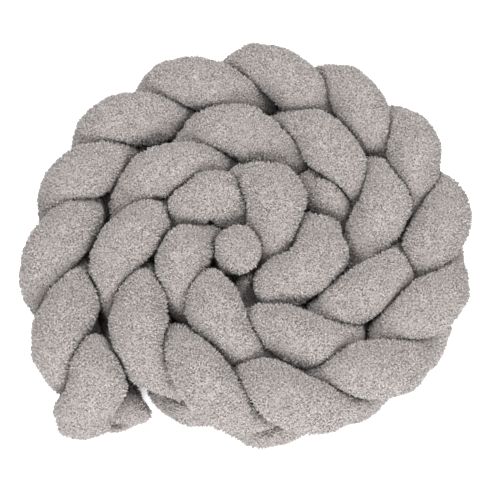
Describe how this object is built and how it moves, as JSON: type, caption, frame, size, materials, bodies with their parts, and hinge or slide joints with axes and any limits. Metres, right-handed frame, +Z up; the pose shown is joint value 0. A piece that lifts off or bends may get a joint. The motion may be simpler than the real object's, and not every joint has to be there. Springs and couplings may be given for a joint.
{
  "type": "braided crib bumper",
  "caption": "Braided crib bumper of stuffed looped-pile cloth tubes in a plait, rolled up flat on its edge in a spiral, with flared outer ends and a knob-like inner end.",
  "frame": {"origin": "middle of the roll's box, on the floor that it lies on", "axes": "+Z up, across the plait's width; -Y is the side that the picture is taken from; +X to the right in the picture"},
  "size_m": [0.5901, 0.5449, 0.1677],
  "materials": {
    "boucle_cloth": "matt looped pile"
  },
  "bodies": {
    "root": {"strand_1": "boucle_cloth", "strand_2": "boucle_cloth", "strand_3": "boucle_cloth"}
  },
  "joints": []
}
